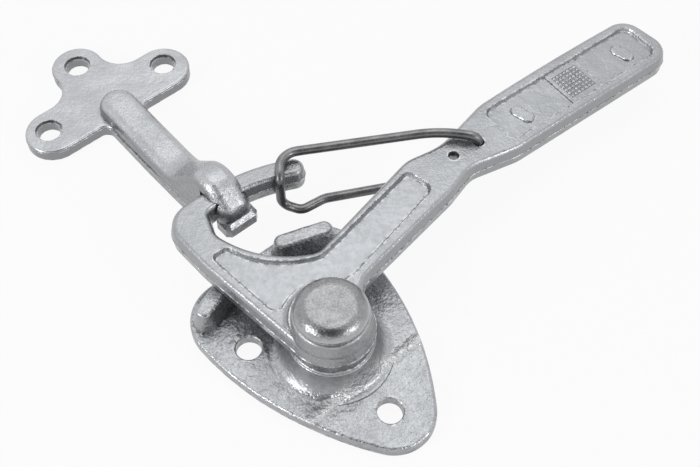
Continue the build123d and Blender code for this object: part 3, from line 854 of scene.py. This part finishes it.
@dataclass
class PartingFlash:
    """The fine trimmed seam that a forging's two dies leave along one level of a CAD node.

    Attributes:
        name: The piece's name.
        node: The CAD node that carries the seam.
        body: The body that the node belongs to.
        level: Height of the seam in metres.
        thickness: Mean thickness of the bead in metres.
        wander: How far the bead strays from the level, in metres.
        step: Length of one segment along the bead, in metres.
        drift_size: Length over which the bead strays, in metres.
        swell_size: Length over which its thickness changes, in metres.
        swell: Smallest and largest share of the thickness.
    """

    name: str
    node: str
    body: Body
    level: float
    thickness: float = 0.45 * MM
    wander: float = 0.16 * MM
    step: float = 0.7 * MM
    drift_size: float = 2.2 * MM
    swell_size: float = 3.0 * MM
    swell: Band = (0.35, 1.15)

    LEVEL_TOLERANCE = 0.002 * MM
    WELD_DISTANCE = 0.001 * MM
    BEAD_SIDES = 8

    # The noise, how much it moves the bead, and the values over which the bead swells.
    NOISE_OCTAVES = 2.0
    NOISE_MIDDLE = 0.5
    DRIFT_GAIN = 4.0
    SWELL_BAND = (0.35, 0.62)

    def build(self, frame: dict, finish: bpy.types.Material) -> bpy.types.Object:
        """Grow the seam from the node's own edges.

        Args:
            frame: The loaded frame.
            finish: The seam's material.

        Returns:
            The seam, which rides on the node's body.
        """
        seam = self._tree().grow(self.name, frame["nodes"][self.node].data.copy(), finish)
        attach(seam, self.body.value)
        return seam

    def _tree(self) -> FormTree:
        """Make the tree that finds the edges at the level and lays a broken bead on them.

        Returns:
            The tree.
        """
        tree = FormTree(
            "parting_flash", Level=self.level, Thickness=self.thickness, Wander=self.wander
        )
        kit = tree.kit
        welded = tree.step("MergeByDistance", tree.inputs["Seed"], Distance=self.WELD_DISTANCE)
        ends = kit.add("GeometryNodeInputMeshEdgeVertices")
        flags = []
        for label in ("Position 1", "Position 2"):
            split = kit.add("ShaderNodeSeparateXYZ")
            kit.link(ends.outputs[label], split.inputs[0])
            at_level = kit.math(
                "COMPARE", split.outputs["Z"], tree.inputs["Level"], self.LEVEL_TOLERANCE
            )
            flags.append(at_level)
        seam = tree.step(
            "SeparateGeometry", welded.outputs[0], domain="EDGE",
            Selection=kit.math("MULTIPLY", *flags),
        )
        line = tree.step("MeshToCurve", seam.outputs[0])
        even = tree.step("ResampleCurve", line.outputs[0], mode="LENGTH", Length=self.step)
        place = kit.add("GeometryNodeInputPosition").outputs[0]
        drift = kit.noise(place, self.drift_size, self.NOISE_OCTAVES)
        drift = kit.math("SUBTRACT", drift, self.NOISE_MIDDLE)
        reach = kit.math("MULTIPLY", tree.inputs["Wander"], self.DRIFT_GAIN)
        offset = kit.add("ShaderNodeCombineXYZ")
        kit.link(kit.math("MULTIPLY", drift, reach), offset.inputs["Z"])
        strayed = tree.step("SetPosition", even.outputs[0], Offset=offset.outputs[0])
        swell = kit.noise(place, self.swell_size, self.NOISE_OCTAVES)
        swell = kit.ramp(swell, self.SWELL_BAND, *self.swell)
        radius = kit.math("MULTIPLY", tree.inputs["Thickness"], 0.5)
        ring = tree.step("CurvePrimitiveCircle", Resolution=self.BEAD_SIDES, Radius=radius)
        bead = tree.step(
            "CurveToMesh", strayed.outputs[0], Profile_Curve=ring.outputs[0], Scale=swell,
            Fill_Caps=True,
        )
        tree.finish(bead.outputs[0])
        return tree


@dataclass
class KnurledPatch:
    """A small plain knurled square on the grip's panel.

    Attributes:
        centre: Middle of the patch, on the panel, in metres.
        turn: Direction of the grip in degrees.
        side: Side of the patch in metres.
        studs: Number of studs along a side.
        height: Height of a stud in metres.
        foot_share: A stud's foot radius as a share of the pitch.
        tip_share: A stud's tip radius as a share of its foot's.
        grip: How the studs are turned.
    """

    centre: Point = (92.21 * MM, 107.85 * MM, 22.03 * MM)
    turn: float = 37.1
    side: float = 10.5 * MM
    studs: int = 7
    height: float = 0.30 * MM
    foot_share: float = 0.66
    tip_share: float = 0.35
    grip: Grip = Grip.DIAMOND

    STUD_SIDES = 4

    def build(self, finish: bpy.types.Material) -> bpy.types.Object:
        """Make the patch.

        Args:
            finish: The patch's material.

        Returns:
            The patch, which rides on the lever.
        """
        seed = bpy.data.meshes.new("knurl_place")
        seed.from_pydata([Vector(self.centre)], [], [])
        patch = self._tree().grow("knurled_patch", seed, finish)
        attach(patch, Body.LEVER.value)
        return patch

    def _tree(self) -> FormTree:
        """Make the tree that sets pyramids on a turned grid.

        Returns:
            The tree.
        """
        tree = FormTree(
            "knurl", Side=self.side, Studs=float(self.studs), Height=self.height,
            Turn=radians(self.turn), Stud_turn=radians(self.grip.value),
        )
        kit, inputs = tree.kit, tree.inputs
        grid = tree.step(
            "MeshGrid", Size_X=inputs["Side"], Size_Y=inputs["Side"],
            Vertices_X=inputs["Studs"], Vertices_Y=inputs["Studs"],
        )
        pitch = kit.math("DIVIDE", inputs["Side"], kit.math("SUBTRACT", inputs["Studs"], 1.0))
        foot = kit.math("MULTIPLY", pitch, self.foot_share)
        tip = kit.math("MULTIPLY", foot, self.tip_share)
        stud = tree.step(
            "MeshCone", Vertices=self.STUD_SIDES, Radius_Bottom=foot, Radius_Top=tip,
            Depth=inputs["Height"],
        )
        spin = kit.add("ShaderNodeCombineXYZ")
        kit.link(inputs["Stud_turn"], spin.inputs["Z"])
        field_of_studs = tree.step(
            "InstanceOnPoints", grid.outputs["Mesh"], Instance=stud.outputs["Mesh"],
            Rotation=spin.outputs[0],
        )
        lie = kit.add("ShaderNodeCombineXYZ")
        kit.link(inputs["Turn"], lie.inputs["Z"])
        turned = tree.step("Transform", field_of_studs.outputs[0], Rotation=lie.outputs[0])
        placed = tree.step("InstanceOnPoints", inputs["Seed"], Instance=turned.outputs[0])
        tree.finish(placed.outputs[0])
        return tree


@dataclass
class PillarFlare:
    """The hollow-sided flare with which the base plate rises into its pillar.

    Attributes:
        top: Radius and height of the flare's upper end, in millimetres.
        corner: Where the tangents of both ends meet, in millimetres.
        foot: Radius and height where it runs out on the plate, in millimetres.
        rings: Number of rings up the side.
        sides: Number of faces round it.
    """

    top: tuple[float, float] = (14.95, 12.6)
    corner: tuple[float, float] = (17.5, 3.985)
    foot: tuple[float, float] = (21.9, 3.985)
    rings: int = 20
    sides: int = 96

    def build(self, finish: bpy.types.Material) -> bpy.types.Object:
        """Make the flare as a closed turned shape.

        Args:
            finish: The flare's material.

        Returns:
            The flare, which rides on the mount.
        """
        shape = bmesh.new()
        loops = []
        for ring in range(self.rings + 1):
            share = ring / self.rings
            weights = ((1 - share) ** 2, 2 * share * (1 - share), share**2)
            curve = list(zip(weights, (self.foot, self.corner, self.top)))
            radius, height = (MM * sum(w * point[axis] for w, point in curve) for axis in (0, 1))
            loops.append(self._loop(shape, radius, height))
        for low, high in zip(loops, loops[1:]):
            for i in range(self.sides):
                j = (i + 1) % self.sides
                shape.faces.new((low[i], low[j], high[j], high[i])).smooth = True
        shape.faces.new(reversed(loops[0]))
        shape.faces.new(loops[-1])
        mesh = bpy.data.meshes.new("pillar_flare")
        shape.to_mesh(mesh)
        shape.free()
        mesh.materials.append(finish)
        flare = bpy.data.objects.new("pillar_flare", mesh)
        bpy.context.scene.collection.objects.link(flare)
        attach(flare, Body.MOUNT.value)
        LOG.info("pillar_flare: %d faces", len(mesh.polygons))
        return flare

    def _loop(
        self, shape: bmesh.types.BMesh, radius: float, height: float
    ) -> list[bmesh.types.BMVert]:
        """Add one ring of points.

        Args:
            shape: The mesh in the making.
            radius: The ring's radius.
            height: The ring's height.

        Returns:
            The ring's vertices.
        """
        turn = 2 * pi / self.sides
        return [
            shape.verts.new((radius * cos(i * turn), radius * sin(i * turn), height))
            for i in range(self.sides)
        ]


@dataclass(frozen=True)
class Softbox:
    """A round soft light.

    Attributes:
        name: The light's name.
        spot: Its place in metres.
        size: Its diameter in metres.
        power: Its power in watts.
    """

    name: str
    spot: Point
    size: float
    power: float


@dataclass
class Studio:
    """Camera, lights and floor of the product shot.

    Attributes:
        eye: Camera position in metres.
        pitch: Angle of the view below the horizon, in degrees.
        sensor: Width of the camera's sensor in millimetres.
        focal_share: Focal length as a share of the sensor's width.
        nearest: Nearest distance that the camera shows, in metres.
        floor_size: Side of the square floor in metres.
        floor_colour: Pale grey of the floor.
        floor_glow: Share of plain white in the floor as the camera and the metal see it.
        room: Strength of the even light from all round.
        room_colour: Colour of that light.
        opening: Direction of the tent's front opening.
        opening_reach: Cosines at which that opening begins and is full.
        opening_grey: Brightness of that opening in the metal's reflections.
        aim: The point that the lights face, in metres.
        lights: The soft lights.
    """

    eye: Point = (6.20 * MM, -205.81 * MM, 366.26 * MM)
    pitch: float = 54.9
    sensor: float = 36.0
    focal_share: float = 1200.0 / 700.0
    nearest: float = 0.01
    floor_size: float = 16.0
    floor_colour: Colour = (0.92, 0.92, 0.92)
    floor_glow: float = 0.92
    room: float = 0.36
    room_colour: Colour = (0.97, 0.985, 1.0)
    opening: Point = (0.0, -0.575, 0.818)
    opening_reach: Band = (0.81, 0.94)
    opening_grey: float = 0.18
    aim: Point = (0.0, 0.05, 0.0)
    lights: tuple[Softbox, ...] = (
        Softbox("left_softbox", (-0.80, -0.50, 0.50), 0.38, 3.8),
        Softbox("right_softbox", (0.80, -0.45, 0.50), 0.40, 1.5),
        Softbox("top_softbox", (0.0, 0.45, 1.0), 0.9, 1.6),
    )

    def place_camera(self) -> bpy.types.Object:
        """Add the camera at the photo's viewing angle.

        Returns:
            The camera object.
        """
        data = bpy.data.cameras.new("photo_camera")
        data.sensor_width = self.sensor
        data.lens = data.sensor_width * self.focal_share
        data.clip_start = self.nearest
        camera = bpy.data.objects.new("photo_camera", data)
        camera.location = self.eye
        camera.rotation_euler = (radians(90.0 - self.pitch), 0.0, 0.0)
        bpy.context.scene.collection.objects.link(camera)
        bpy.context.scene.camera = camera
        return camera

    def place_lights(self) -> None:
        """Add the soft lights, all aimed at the latch."""
        for light in self.lights:
            data = bpy.data.lights.new(light.name, "AREA")
            data.shape = "DISK"
            data.size = light.size
            data.energy = light.power
            lamp = bpy.data.objects.new(light.name, data)
            lamp.location = light.spot
            facing = Vector(self.aim) - Vector(light.spot)
            lamp.rotation_euler = facing.to_track_quat("-Z", "Y").to_euler()
            bpy.context.scene.collection.objects.link(lamp)
            LOG.info("light %s at %s", light.name, light.spot)

    def place_floor(self, height: float) -> bpy.types.Object:
        """Add the plain pale floor.

        Args:
            height: The floor's level in metres.

        Returns:
            The floor object.
        """
        mesh = bpy.data.meshes.new("floor")
        shape = bmesh.new()
        bmesh.ops.create_grid(shape, x_segments=1, y_segments=1, size=self.floor_size / 2)
        shape.to_mesh(mesh)
        shape.free()
        floor = bpy.data.objects.new("floor", mesh)
        floor.location.z = height
        bpy.context.scene.collection.objects.link(floor)
        floor.data.materials.append(self._floor_material())
        floor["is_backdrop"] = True
        return floor

    @staticmethod
    def _seen(kit: Nodes) -> tuple[Socket, Socket]:
        """Tell which rays show the background instead of carrying light.

        Args:
            kit: The tree helper.

        Returns:
            The mask of camera, glossy and transmission rays, and that of glossy rays.
        """
        path = kit.add("ShaderNodeLightPath").outputs
        seen = kit.math("MAXIMUM", path["Is Camera Ray"], path["Is Glossy Ray"])
        return kit.math("MAXIMUM", seen, path["Is Transmission Ray"]), path["Is Glossy Ray"]

    def _floor_material(self) -> bpy.types.Material:
        """Make a matt floor that looks white and still takes the latch's shadow.

        Returns:
            The floor's material.
        """
        material = bpy.data.materials.new("pale_floor")
        material.use_nodes = True
        material.node_tree.nodes.clear()
        kit = Nodes(material.node_tree)
        matt = kit.add("ShaderNodeBsdfDiffuse")
        matt.inputs["Color"].default_value = (*self.floor_colour, 1.0)
        white = kit.add("ShaderNodeEmission")
        mix = kit.add("ShaderNodeMixShader")
        output = kit.add("ShaderNodeOutputMaterial")
        kit.link(kit.math("MULTIPLY", self._seen(kit)[0], self.floor_glow), mix.inputs["Fac"])
        kit.link(matt.outputs["BSDF"], mix.inputs[1])
        kit.link(white.outputs["Emission"], mix.inputs[2])
        kit.link(mix.outputs["Shader"], output.inputs["Surface"])
        return material

    def set_world(self) -> None:
        """Set a white tent, open at the front, with soft and even light from all round."""
        scene = bpy.context.scene
        scene.view_settings.view_transform = "Standard"
        world = bpy.data.worlds.new("studio")
        scene.world = world
        world.use_nodes = True
        world.node_tree.nodes.clear()
        kit = Nodes(world.node_tree)
        seen, glossy = self._seen(kit)
        direction = kit.add("ShaderNodeTexCoord").outputs["Generated"]
        dot = kit.add("ShaderNodeVectorMath", operation="DOT_PRODUCT")
        kit.link(direction, dot.inputs[0])
        dot.inputs[1].default_value = self.opening
        gap = kit.ramp(dot.outputs["Value"], self.opening_reach, 0.0, 1.0)
        gap = kit.math("MULTIPLY", glossy, gap)
        tent = kit.add("ShaderNodeBackground")
        kit.link(kit.tint(gap, (1.0, 1.0, 1.0), (self.opening_grey,) * 3), tent.inputs["Color"])
        room = kit.add("ShaderNodeBackground")
        room.inputs["Color"].default_value = (*self.room_colour, 1.0)
        room.inputs["Strength"].default_value = self.room
        mix = kit.add("ShaderNodeMixShader")
        output = kit.add("ShaderNodeOutputWorld")
        kit.link(seen, mix.inputs["Fac"])
        kit.link(room.outputs["Background"], mix.inputs[1])
        kit.link(tent.outputs["Background"], mix.inputs[2])
        kit.link(mix.outputs["Shader"], output.inputs["Surface"])


def main() -> None:
    """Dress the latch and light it."""
    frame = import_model()
    cad_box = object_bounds()
    finish = {
        piece.node: piece.dress(frame)
        for piece in (
            ForgedPiece("base_plate", GALVANISED_PLATE),
            ForgedPiece("keeper", GALVANISED_KEEPER),
            ForgedPiece("latch_lever", GALVANISED_LEVER),
            ForgedPiece("pivot_rivet", HAMMERED_RIVET),
            ForgedPiece("gate_spring", SPRING_WIRE),
        )
    }
    SafetyWire().build(finish["gate_spring"])
    PillarFlare().build(PLAIN_PLATE.build())
    for seam in (
        PartingFlash("lever_seam", "latch_lever", Body.LEVER, level=18.4 * MM),
        PartingFlash("keeper_seam", "keeper", Body.MOUNT, level=3.9 * MM, thickness=0.35 * MM),
    ):
        seam.build(frame, finish[seam.node])
    KnurledPatch().build(PLAIN_LEVER.build())
    studio = Studio()
    studio.set_world()
    studio.place_lights()
    studio.place_floor(cad_box[0][2])
    studio.place_camera()


if __name__ == "__main__":
    main()
